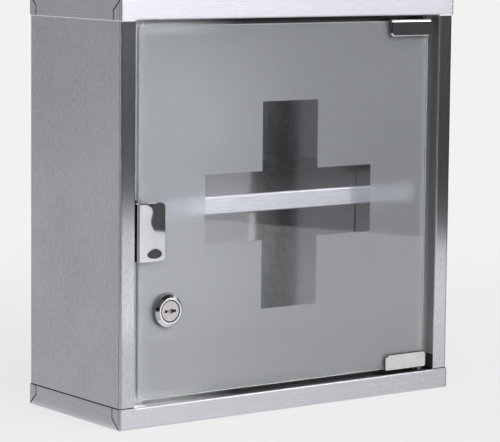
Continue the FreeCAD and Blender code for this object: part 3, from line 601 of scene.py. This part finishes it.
def lock_rings():
    """Distance from the lock's axis, for the rings on its face."""
    tree, given, out = group_of(
        "Lock rings", [("Place", "NodeSocketVector", None)], [("Distance", "NodeSocketFloat")])
    low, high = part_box("lock_plug")
    offset = node(tree, "ShaderNodeVectorMath", operation="SUBTRACT")
    join(tree, given.outputs["Place"], offset.inputs[0])
    offset.inputs[1].default_value = (low + high) / 2
    flat = node(tree, "ShaderNodeVectorMath", operation="MULTIPLY")
    join(tree, offset.outputs[0], flat.inputs[0])
    flat.inputs[1].default_value = (1.0, 0.0, 1.0)
    length = node(tree, "ShaderNodeVectorMath", operation="LENGTH")
    join(tree, flat.outputs[0], length.inputs[0])
    join(tree, length.outputs["Value"], out.inputs["Distance"])
    return tree


EFFECTS = {
    brushed_grain: "Brushed grain",
    soft_mottle: "Soft mottle",
    fine_speckle: "Fine speckle",
    sheet_zones: "Sheet zones",
    pressed_relief: "Pressed relief",
    lock_rings: "Lock rings",
}


def finish_material(name):
    """New material, its tree, its Principled shader and the place on the object."""
    made = bpy.data.materials.new(name)
    made.use_nodes = True
    tree = made.node_tree
    shader = tree.nodes["Principled BSDF"]
    place = node(tree, "ShaderNodeTexCoord").outputs["Object"]
    return made, tree, shader, place


def scaled(tree, place, scale, label=None):
    """Place stretched by a scale for each axis."""
    made = node(tree, "ShaderNodeMapping", label)
    join(tree, place, made.inputs["Vector"])
    made.inputs["Scale"].default_value = scale
    return made.outputs["Vector"]


def add_bump(tree, shader, height, strength, distance):
    """Relief on the shader's normal, on top of any that it has."""
    bump = node(tree, "ShaderNodeBump")
    if shader.inputs["Normal"].is_linked:
        join(tree, shader.inputs["Normal"].links[0].from_socket, bump.inputs["Normal"])
    bump.inputs["Strength"].default_value = strength
    bump.inputs["Distance"].default_value = distance
    join(tree, height, bump.inputs["Height"])
    join(tree, bump.outputs["Normal"], shader.inputs["Normal"])


def put_on(finish, *names):
    """Puts a finish on CAD nodes."""
    for name in names:
        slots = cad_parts[name].data.materials
        slots.clear()
        slots.append(finish)


# Steel

def flat_on_top(tree):
    """Mask of the faces that look up or down, how far a face looks sideways, and its normal."""
    normal = node(tree, "ShaderNodeNewGeometry").outputs["True Normal"]
    parts = parts_of(tree, normal)
    upward = above(tree, maths(tree, "ABSOLUTE", parts["Z"]), 0.7)
    sideways = maths(tree, "ABSOLUTE", parts["X"])
    return upward, sideways, normal


def grain_place(tree, place, upward, upright, along, across):
    """Place stretched along the brushing: up and down, or level, and from left to right on top."""
    if upright:
        return scaled(tree, place, (across, across, along))
    walls = scaled(tree, place, (along, along, across), "Walls")
    tops = scaled(tree, place, (along, across, along), "Top and bottom")
    made = node(tree, "ShaderNodeMix", data_type="VECTOR")
    join(tree, upward, made.inputs["Factor"])
    vectors = [s for s in made.inputs if s.type == "VECTOR" and s.name in ("A", "B")]
    join(tree, walls, vectors[0])
    join(tree, tops, vectors[1])
    return [s for s in made.outputs if s.type == "VECTOR"][0]


def grain_tangent(tree, shader, sideways, normal, upright):
    """Lays the shader's tangent across the grain, so that reflections spread that way."""
    grain = node(tree, "ShaderNodeCombineXYZ", "Grain direction")
    if upright:
        grain.inputs["Z"].default_value = 1.0
    else:
        grain.inputs["X"].default_value = 1.0
        join(tree, sideways, grain.inputs["Y"])
    across = node(tree, "ShaderNodeVectorMath", operation="CROSS_PRODUCT")
    join(tree, normal, across.inputs[0])
    join(tree, grain.outputs[0], across.inputs[1])
    join(tree, across.outputs[0], shader.inputs["Tangent"])


def brushed_steel(name, upright, inside_from, shells=False, cover=0.0, painted_gain=1.0, inner=1.0):
    """
    Stainless sheet, brushed upright or level outside, and smooth inside from that depth on.

    The shells get painted shade in their seams at the caps and a painted highlight on the edge under
    the upper one, and the caps get painted shade along their slots and lie that far over the shells.
    Folds round the door get painted shade, the open left one painted light, and shells and caps a
    line of painted shade along the front corners. The last two arguments scale the colour of the
    outer and the inner side: painted light above 1, painted shade below it.
    """
    settings = bpy.context.scene.cabinet_steel
    made, tree, shader, place = finish_material(name)
    upward, sideways, normal = flat_on_top(tree)
    along = GRAIN_ALONG if upright else LEVEL_GRAIN_ALONG
    fine = grain_place(tree, place, upward, upright, along, GRAIN_ACROSS)
    broad = grain_place(tree, place, upward, upright, BROAD_ALONG, BROAD_ACROSS)
    grain = effect(tree, brushed_grain, fine)
    join(tree, broad, grain.inputs["Broad place"])
    cloud = effect(tree, soft_mottle, place, scale=SHEET_CLOUD)

    zones = effect(tree, sheet_zones, place, inside_from=inside_from, cover=cover)
    streaks = settings.streaks if upright else settings.streaks * LEVEL_STREAKS
    tone = maths(tree, "ADD", times(tree, grain.outputs["Lines"], GRAIN_IN_TONE),
                 times(tree, cloud.outputs["Cloud"], 1 - GRAIN_IN_TONE))
    colour = varied(tree, tone, Vector(settings.sheet) * painted_gain, 1 - streaks, 1 + streaks / 2)
    inner_colour = varied(tree, tone, Vector(settings.inside) * inner, INNER_DARKEST, 1.0)
    colour = blended(tree, zones.outputs["Inside"], colour, inner_colour)
    # Painted shade in the folds round the door, and painted light, white, in the open left one
    colour = blended(tree, zones.outputs["Recess"], colour, settings.recess)
    colour = blended(tree, zones.outputs["Pale"], colour, PAINTED_LIGHT)
    # Line of painted shade along the rounded front corners of the shells and caps
    if shells or cover:
        fold = times(tree, zones.outputs["Fold"], CORNER_SHADE)
        colour = blended(tree, fold, colour, settings.recess)
    # Painted shade along the caps' tab slots and on the rims' cut edges
    if cover:
        colour = blended(tree, zones.outputs["Slot"], colour, DEEP_SHADE)
    # Painted highlight on the shells' edge under the upper cap, and painted shade in their seam at the
    # caps
    if shells:
        colour = blended(tree, zones.outputs["Glint"], colour, PAINTED_LIGHT)
        colour = blended(tree, zones.outputs["Seam"], colour, DEEP_SHADE)
    join(tree, colour, shader.inputs["Base Color"])

    middle = settings.upright_roughness if upright else settings.level_roughness
    brushed = spread(tree, tone, 0.0, 1.0, middle * STEEL_SPREAD[0], middle * STEEL_SPREAD[1])
    speckle = effect(tree, fine_speckle, place, scale=SHEET_SPECKLE)
    hazy = spread(tree, speckle.outputs["Speckle"], HAZY_FROM, HAZY_TO,
                  settings.inside_roughness, settings.haze)
    rough = mixed(tree, zones.outputs["Inside"], brushed, hazy)
    rough = mixed(tree, zones.outputs["Folded"], rough, settings.haze)
    join(tree, rough, shader.inputs["Roughness"])
    shader.inputs["Metallic"].default_value = 1.0
    shader.inputs["Anisotropic"].default_value = settings.brushing
    grain_tangent(tree, shader, sideways, normal, upright)
    strength = UPRIGHT_RELIEF if upright else LEVEL_RELIEF
    add_bump(tree, shader, grain.outputs["Height"], strength, GRAIN_HEIGHT)
    if shells:
        add_bump(tree, shader, zones.outputs["Relief"], 1.0, 1.0)
    return made


# Plated, satin and moulded pieces

def plain_finish(name, colour, low, high, cloud, specks, tones, relief, metallic, dark_from=None):
    """
    Finish with a cloudy tone and a fine speckle, between two roughnesses.

    Past that distance from the lock's axis, if one is given, it gets painted shade.
    """
    made, tree, shader, place = finish_material(name)
    clouds = effect(tree, soft_mottle, place, scale=cloud)
    speckle = effect(tree, fine_speckle, place, scale=specks)
    colour = varied(tree, clouds.outputs["Cloud"], Vector(colour), *tones)
    if dark_from:
        rings = effect(tree, lock_rings, place)
        colour = blended(tree, above(tree, rings.outputs["Distance"], dark_from), colour, GROOVE_SHADE)
    join(tree, colour, shader.inputs["Base Color"])
    rough = spread(tree, speckle.outputs["Speckle"], 0.0, 1.0, low, high)
    join(tree, rough, shader.inputs["Roughness"])
    shader.inputs["Metallic"].default_value = metallic
    add_bump(tree, shader, speckle.outputs["Height"], *relief)
    return made


# Chrome

def bright_chrome(name, roughness, dents=0.0, ring=False, mottle=0.06):
    """Polished plating with faint marks, and soft dents or a ring of painted shade round the plug if
    asked.
    """
    settings = bpy.context.scene.cabinet_chrome
    made, tree, shader, place = finish_material(name)
    cloud = effect(tree, soft_mottle, place, scale=CHROME_CLOUD)
    spots = effect(tree, fine_speckle, place, scale=CHROME_SPOTS)
    tone = mixed(tree, 0.5, cloud.outputs["Cloud"], spots.outputs["Speckle"])
    colour = varied(tree, tone, Vector(settings.plating), 1 - mottle, 1 + mottle / 2)
    if ring:
        rings = effect(tree, lock_rings, place)
        colour = blended(tree, below(tree, rings.outputs["Distance"], LOCK_GROOVE), colour, GROOVE_SHADE)
    join(tree, colour, shader.inputs["Base Color"])
    clear, cloudy = CHROME_SPREAD
    rough = spread(tree, cloud.outputs["Cloud"], 0.0, 1.0, roughness * clear, roughness * cloudy)
    join(tree, rough, shader.inputs["Roughness"])
    shader.inputs["Metallic"].default_value = 1.0
    if dents:
        relief = effect(tree, pressed_relief, place, dents=dents)
        add_bump(tree, shader, relief.outputs["Height"], 1.0, 1.0)
    return made


# Glass

def near_edges(tree, place, low, high, rim):
    """Mask that rises to 1 at the four edges, over the width of the rim."""
    across, _, height = parts_of(tree, place)
    nearest = None
    for along, start, end in ((across, low.x, high.x), (height, low.z, high.z)):
        for edge, way in ((start, 1), (end, -1)):
            depth = times(tree, maths(tree, "SUBTRACT", along, edge), way)
            nearest = depth if nearest is None else maths(tree, "MINIMUM", nearest, depth)
    return spread(tree, nearest, 0.0, rim, 1.0, 0.0)


def let_light_by(tree, shader, share):
    """Lets a share of the lamps' light straight through, so that what is behind is lit."""
    clear = node(tree, "ShaderNodeBsdfTransparent")
    clear.inputs["Color"].default_value = (share, share, share, 1.0)
    mix = node(tree, "ShaderNodeMixShader")
    join(tree, node(tree, "ShaderNodeLightPath").outputs["Is Shadow Ray"], mix.inputs["Fac"])
    join(tree, shader.outputs[0], mix.inputs[1])
    join(tree, clear.outputs[0], mix.inputs[2])
    join(tree, mix.outputs[0], tree.nodes["Material Output"].inputs["Surface"])


def clear_glass():
    """Clear polished pane, a little green near its edges."""
    settings = bpy.context.scene.cabinet_glass
    made, tree, shader, place = finish_material("Clear glass")
    low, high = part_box("door_glass")
    mask = near_edges(tree, place, low, high, settings.rim / 2)
    ground = above(tree, near_edges(tree, place, low, high, settings.ground), 0.01)
    tint = blended(tree, mask, settings.pane, settings.edge)
    join(tree, blended(tree, ground, tint, settings.ground_tint), shader.inputs["Base Color"])
    cloud = effect(tree, soft_mottle, place, scale=PANE_CLOUD)
    polished = spread(tree, cloud.outputs["Cloud"], 0.0, 1.0, 0.0, PANE_ROUGHNESS)
    join(tree, mixed(tree, ground, polished, GROUND_ROUGHNESS), shader.inputs["Roughness"])
    shader.inputs["Transmission Weight"].default_value = 1.0
    shader.inputs["IOR"].default_value = PANE_IOR
    shader.inputs["Specular IOR Level"].default_value = PANE_SPECULAR
    let_light_by(tree, shader, PANE_SHADOW)
    return made


def frosted_glass():
    """Etched face on the back of the pane, with painted light making it a little lighter on the left, and
    a rim of its own colour.
    """
    settings = bpy.context.scene.cabinet_glass
    made, tree, shader, place = finish_material("Frosted glass")
    low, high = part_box("frosted_layer")
    mask = near_edges(tree, place, low, high, settings.rim)
    cloud = effect(tree, soft_mottle, place, scale=FROST_CLOUD)
    speckle = effect(tree, fine_speckle, place, scale=FROST_SPECKLE)
    # Painted light: lighter towards the left end, darker towards the right
    left = Vector(settings.frost) * settings.painted_left_light
    right = Vector(settings.frost) * (2 - settings.painted_left_light)
    side = spread(tree, parts_of(tree, place)["X"], low.x, high.x)
    even = blended(tree, side, left, right)
    deeper = blended(tree, side, left * FROST_DARKEST, right * FROST_DARKEST)
    clouded = blended(tree, cloud.outputs["Cloud"], deeper, even)
    join(tree, blended(tree, mask, clouded, settings.frost_rim), shader.inputs["Base Color"])
    rough = spread(tree, speckle.outputs["Speckle"], 0.0, 1.0, *FROST_ROUGHNESS)
    join(tree, rough, shader.inputs["Roughness"])
    shader.inputs["Transmission Weight"].default_value = FROST_THROUGH
    shader.inputs["IOR"].default_value = FROST_IOR
    let_light_by(tree, shader, FROST_SHADOW)
    return made


# Pieces

def object_of(name, mesh_data, body, finish):
    """Finished piece: an object at the origin that rides on a body."""
    made = bpy.data.objects.new(name, mesh_data)
    bpy.context.scene.collection.objects.link(made)
    made.data.materials.clear()
    made.data.materials.append(finish)
    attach(made, body)
    return made


class CABINET_OT_steel_box(bpy.types.Operator):
    """Finish the shells, caps, back panel, shelf and latch bracket"""
    bl_idname = "cabinet.steel_box"
    bl_label = "Steel box"

    def execute(self, context):
        skin = SHELL_FRONT + STILE_SKIN
        lip = SHELF_LIP_FRONT + LIP_HEM
        put_on(brushed_steel("Steel brushed upright", True, skin, shells=True),
               "left_shell", "right_shell")
        # The back's inner side is lightened as painted light
        put_on(brushed_steel("Steel of the back", True, skin, inner=1.22), "back_panel")
        put_on(brushed_steel("Steel brushed level", False, skin), "latch_bracket")
        put_on(brushed_steel("Steel of the caps", False, skin, cover=CAP_COVER),
               "top_cap", "bottom_cap")
        # The shelf's outer side, mostly its lip, is lightened as painted light, and its inner side
        # darkened as painted shade
        put_on(brushed_steel("Steel of the shelf", False, lip, painted_gain=1.24, inner=0.85), "shelf")
        return {"FINISHED"}


class CABINET_OT_door_glass(bpy.types.Operator):
    """Finish the pane and lay its frosted face behind it"""
    bl_idname = "cabinet.door_glass"
    bl_label = "Door glass"

    def execute(self, context):
        put_on(clear_glass(), "door_glass")
        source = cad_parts["frosted_layer"].data
        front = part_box("frosted_layer")[0].y
        work = bmesh.new()
        work.from_mesh(source)
        bmesh.ops.remove_doubles(work, verts=work.verts, dist=0.001 * MM)
        bmesh.ops.dissolve_limit(work, angle_limit=math.radians(0.5), verts=work.verts, edges=work.edges)
        front_verts = [v for v in work.verts if abs(v.co.y - front) < FROST_GAP]
        bmesh.ops.translate(work, verts=front_verts, vec=(0, FROST_GAP, 0))
        mesh = bpy.data.meshes.new("frosted_face")
        work.to_mesh(mesh)
        work.free()
        face = object_of("frosted_face", mesh, "door", frosted_glass())
        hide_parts("frosted_layer")
        return {"FINISHED"}


class CABINET_OT_door_fittings(bpy.types.Operator):
    """Finish the clamps, liners, pins, screws and strike plate"""
    bl_idname = "cabinet.door_fittings"
    bl_label = "Door fittings"

    def execute(self, context):
        plastic = context.scene.cabinet_plastic
        chrome = context.scene.cabinet_chrome
        put_on(bright_chrome("Bright chrome", chrome.roughness, mottle=0.14),
               "hinge_clamp_top", "hinge_clamp_bottom")
        put_on(bright_chrome("Pressed chrome", chrome.pressed, dents=chrome.dents), "strike_plate")
        steel = context.scene.cabinet_steel
        put_on(plain_finish("Plated steel", steel.plated, 0.26, 0.4, **PLATED),
               "clamp_screws", "strike_screw", "lock_washer", "lock_nut", "lock_cam",
               "cam_washer", "cam_screw", "latch_spring", "latch_screws")
        put_on(plain_finish("Pin steel", steel.pin, 0.1, 0.16, **PLATED),
               "pivot_pin_top", "pivot_pin_bottom")
        put_on(plain_finish("Soft liner", plastic.liner, 0.52, 0.68, specks=900.0, **MOULDED),
               "clamp_liner_top", "clamp_liner_bottom", "strike_liner", "lock_gasket")
        put_on(plain_finish("Bush nylon", plastic.bush, 0.37, 0.53, specks=1400.0, **MOULDED),
               "hinge_bush_top", "hinge_bush_bottom")
        return {"FINISHED"}


class CABINET_OT_lock(bpy.types.Operator):
    """Finish the lock's bezel, plug and wafers"""
    bl_idname = "cabinet.lock"
    bl_label = "Lock"

    def execute(self, context):
        chrome = context.scene.cabinet_chrome
        # The bezel and the plug get painted shade in a thin ring between them
        put_on(bright_chrome("Lock chrome", chrome.roughness, ring=True), "lock_body")
        put_on(plain_finish("Satin nickel", chrome.plug, 0.36, 0.48, dark_from=PLUG_FACE, **SATIN),
               "lock_plug")
        put_on(plain_finish("Plain brass", chrome.wafers, 0.24, 0.36, **SATIN), "lock_wafers")
        return {"FINISHED"}


class CABINET_OT_latch(bpy.types.Operator):
    """Finish the push latch"""
    bl_idname = "cabinet.latch"
    bl_label = "Push latch"

    def execute(self, context):
        plastic = context.scene.cabinet_plastic
        put_on(plain_finish("Latch plastic", plastic.latch, 0.42, 0.58, specks=1200.0, **MOULDED),
               "latch_housing", "latch_end_cap", "latch_plunger")
        put_on(plain_finish("Magnet", plastic.magnet, 0.29, 0.41, **SATIN), "latch_magnet")
        return {"FINISHED"}


# Stage

def card(name, corner, along, up, axis, first, last):
    """Card that only reflections see, from one brightness to another along an axis."""
    work = bmesh.new()
    verts = [work.verts.new(Vector(corner) + Vector(a) + Vector(b))
             for a, b in (((0, 0, 0), (0, 0, 0)), (along, (0, 0, 0)), (along, up), ((0, 0, 0), up))]
    work.faces.new(verts)
    mesh = bpy.data.meshes.new(name)
    work.to_mesh(mesh)
    work.free()
    made = bpy.data.objects.new(name, mesh)
    bpy.context.scene.collection.objects.link(made)
    made.visible_camera = False
    made.visible_diffuse = False
    made.visible_shadow = False
    paint = bpy.data.materials.new(name)
    paint.use_nodes = True
    tree = paint.node_tree
    tree.nodes.clear()
    light = node(tree, "ShaderNodeEmission")
    light.inputs["Color"].default_value = (1.0, 1.0, 1.02, 1.0)
    parts = parts_of(tree, node(tree, "ShaderNodeTexCoord").outputs["Generated"])
    join(tree, spread(tree, parts[axis], 0.0, 1.0, first, last), light.inputs["Strength"])
    join(tree, light.outputs[0], node(tree, "ShaderNodeOutputMaterial").inputs["Surface"])
    mesh.materials.append(paint)
    return made


def seen_directly(tree):
    """1 for camera, glossy and transmission rays, and 0 for the rays that light the object."""
    path = node(tree, "ShaderNodeLightPath")
    seen = maths(tree, "MAXIMUM", path.outputs["Is Camera Ray"], path.outputs["Is Glossy Ray"])
    return maths(tree, "MAXIMUM", seen, path.outputs["Is Transmission Ray"])


def floor_material(pale):
    """Pale floor that keeps the object's shadow near it and is plain further out."""
    paint = bpy.data.materials.new("Pale floor")
    paint.use_nodes = True
    tree = paint.node_tree
    shader = tree.nodes["Principled BSDF"]
    shader.inputs["Base Color"].default_value = FLOOR_COLOUR
    shader.inputs["Roughness"].default_value = 1.0
    light = node(tree, "ShaderNodeEmission")
    light.inputs["Color"].default_value = (pale, pale, pale, 1.0)
    place = node(tree, "ShaderNodeTexCoord").outputs["Object"]
    distance = node(tree, "ShaderNodeVectorMath", operation="LENGTH")
    join(tree, place, distance.inputs[0])
    plain = spread(tree, distance.outputs["Value"], SHADOW_FROM, SHADOW_TO, NEAR_PLAIN, 1.0)
    mix = node(tree, "ShaderNodeMixShader")
    join(tree, times(tree, seen_directly(tree), plain), mix.inputs["Fac"])
    join(tree, shader.outputs[0], mix.inputs[1])
    join(tree, light.outputs[0], mix.inputs[2])
    join(tree, mix.outputs[0], tree.nodes["Material Output"].inputs["Surface"])
    return paint


def pale_world(pale, fill):
    """World that looks pale and lights softly."""
    world = bpy.data.worlds.new("Studio")
    bpy.context.scene.world = world
    world.use_nodes = True
    tree = world.node_tree
    background = tree.nodes["Background"]
    background.inputs["Color"].default_value = (1.0, 1.0, 1.0, 1.0)
    join(tree, spread(tree, seen_directly(tree), 0.0, 1.0, fill, pale), background.inputs["Strength"])


def lamp(name, place, target, width, height, power):
    """Soft box that looks at a target and that reflections don't see."""
    light = bpy.data.lights.new(name, "AREA")
    light.shape = "RECTANGLE"
    light.size = width
    light.size_y = height
    light.energy = power
    made = bpy.data.objects.new(name, light)
    bpy.context.scene.collection.objects.link(made)
    made.location = place
    made.rotation_euler = (Vector(target) - Vector(place)).to_track_quat("-Z", "Y").to_euler()
    made.visible_glossy = False


def photo_camera():
    """Camera at the photograph's place and angle."""
    forward = Vector((math.sin(CAMERA_AZIMUTH) * math.cos(CAMERA_DOWN),
                      math.cos(CAMERA_AZIMUTH) * math.cos(CAMERA_DOWN), -math.sin(CAMERA_DOWN)))
    right = forward.cross(Vector((0, 0, 1))).normalized()
    up = right.cross(forward)
    rolled_right = right * math.cos(CAMERA_ROLL) + up * math.sin(CAMERA_ROLL)
    rolled_up = up * math.cos(CAMERA_ROLL) - right * math.sin(CAMERA_ROLL)
    turned = Matrix((rolled_right, rolled_up, -forward)).transposed()
    data = bpy.data.cameras.new("Camera")
    data.sensor_width = SENSOR_WIDTH
    data.lens = CAMERA_FOCAL_PIXELS * SENSOR_WIDTH / PHOTO_WIDTH_PIXELS
    data.shift_y = CAMERA_SHIFT
    made = bpy.data.objects.new("Camera", data)
    bpy.context.scene.collection.objects.link(made)
    made.matrix_world = Matrix.Translation(CAMERA_PLACE) @ turned.to_4x4()
    bpy.context.scene.camera = made


class CABINET_OT_stage(bpy.types.Operator):
    """Set the camera, the pale floor, the lamps and the cards"""
    bl_idname = "cabinet.stage"
    bl_label = "Stage"

    def execute(self, context):
        settings = context.scene.cabinet_stage
        photo_camera()
        work = bmesh.new()
        bmesh.ops.create_circle(work, cap_ends=True, segments=FLOOR_SEGMENTS, radius=settings.floor)
        mesh = bpy.data.meshes.new("floor")
        work.to_mesh(mesh)
        work.free()
        mesh.materials.append(floor_material(settings.pale))
        floor = bpy.data.objects.new("floor", mesh)
        context.scene.collection.objects.link(floor)
        pale_world(settings.pale, settings.fill)
        lamp("key_lamp", *KEY_LAMP, settings.key)
        lamp("side_lamp", *SIDE_LAMP, settings.side)
        for values in CARDS:
            card(*values)
        card(*NEAR_CARD).visible_glossy = False
        context.scene.view_settings.view_transform = "Standard"
        return {"FINISHED"}


class CABINET_PT_panel(bpy.types.Panel):
    """Lists the cabinet's pieces and their settings"""
    bl_idname = "CABINET_PT_panel"
    bl_label = "Steel cabinet"
    bl_space_type = "VIEW_3D"
    bl_region_type = "UI"
    bl_category = "Cabinet"

    def draw(self, context):
        for operator in OPERATORS:
            self.layout.operator(operator.bl_idname)
        for name, group in SETTINGS.items():
            box = self.layout.box()
            box.label(text=group.__doc__)
            for value in group.__annotations__:
                box.prop(getattr(context.scene, name), value)


OPERATORS = (
    CABINET_OT_stage,
    CABINET_OT_steel_box,
    CABINET_OT_door_glass,
    CABINET_OT_door_fittings,
    CABINET_OT_lock,
    CABINET_OT_latch,
)


def register():
    """Registers the settings, the operators and the panel."""
    for name, group in SETTINGS.items():
        bpy.utils.register_class(group)
        setattr(bpy.types.Scene, name, PointerProperty(type=group))
    for made in (*OPERATORS, CABINET_PT_panel):
        bpy.utils.register_class(made)


def unregister():
    """Takes them away again."""
    for made in (CABINET_PT_panel, *reversed(OPERATORS)):
        bpy.utils.unregister_class(made)
    for name, group in SETTINGS.items():
        delattr(bpy.types.Scene, name)
        bpy.utils.unregister_class(group)


def main():
    """Builds the finished object."""
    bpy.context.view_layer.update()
    register()
    for operator in OPERATORS:
        family, name = operator.bl_idname.split(".")
        getattr(getattr(bpy.ops, family), name)()


if __name__ == "__main__":
    main()
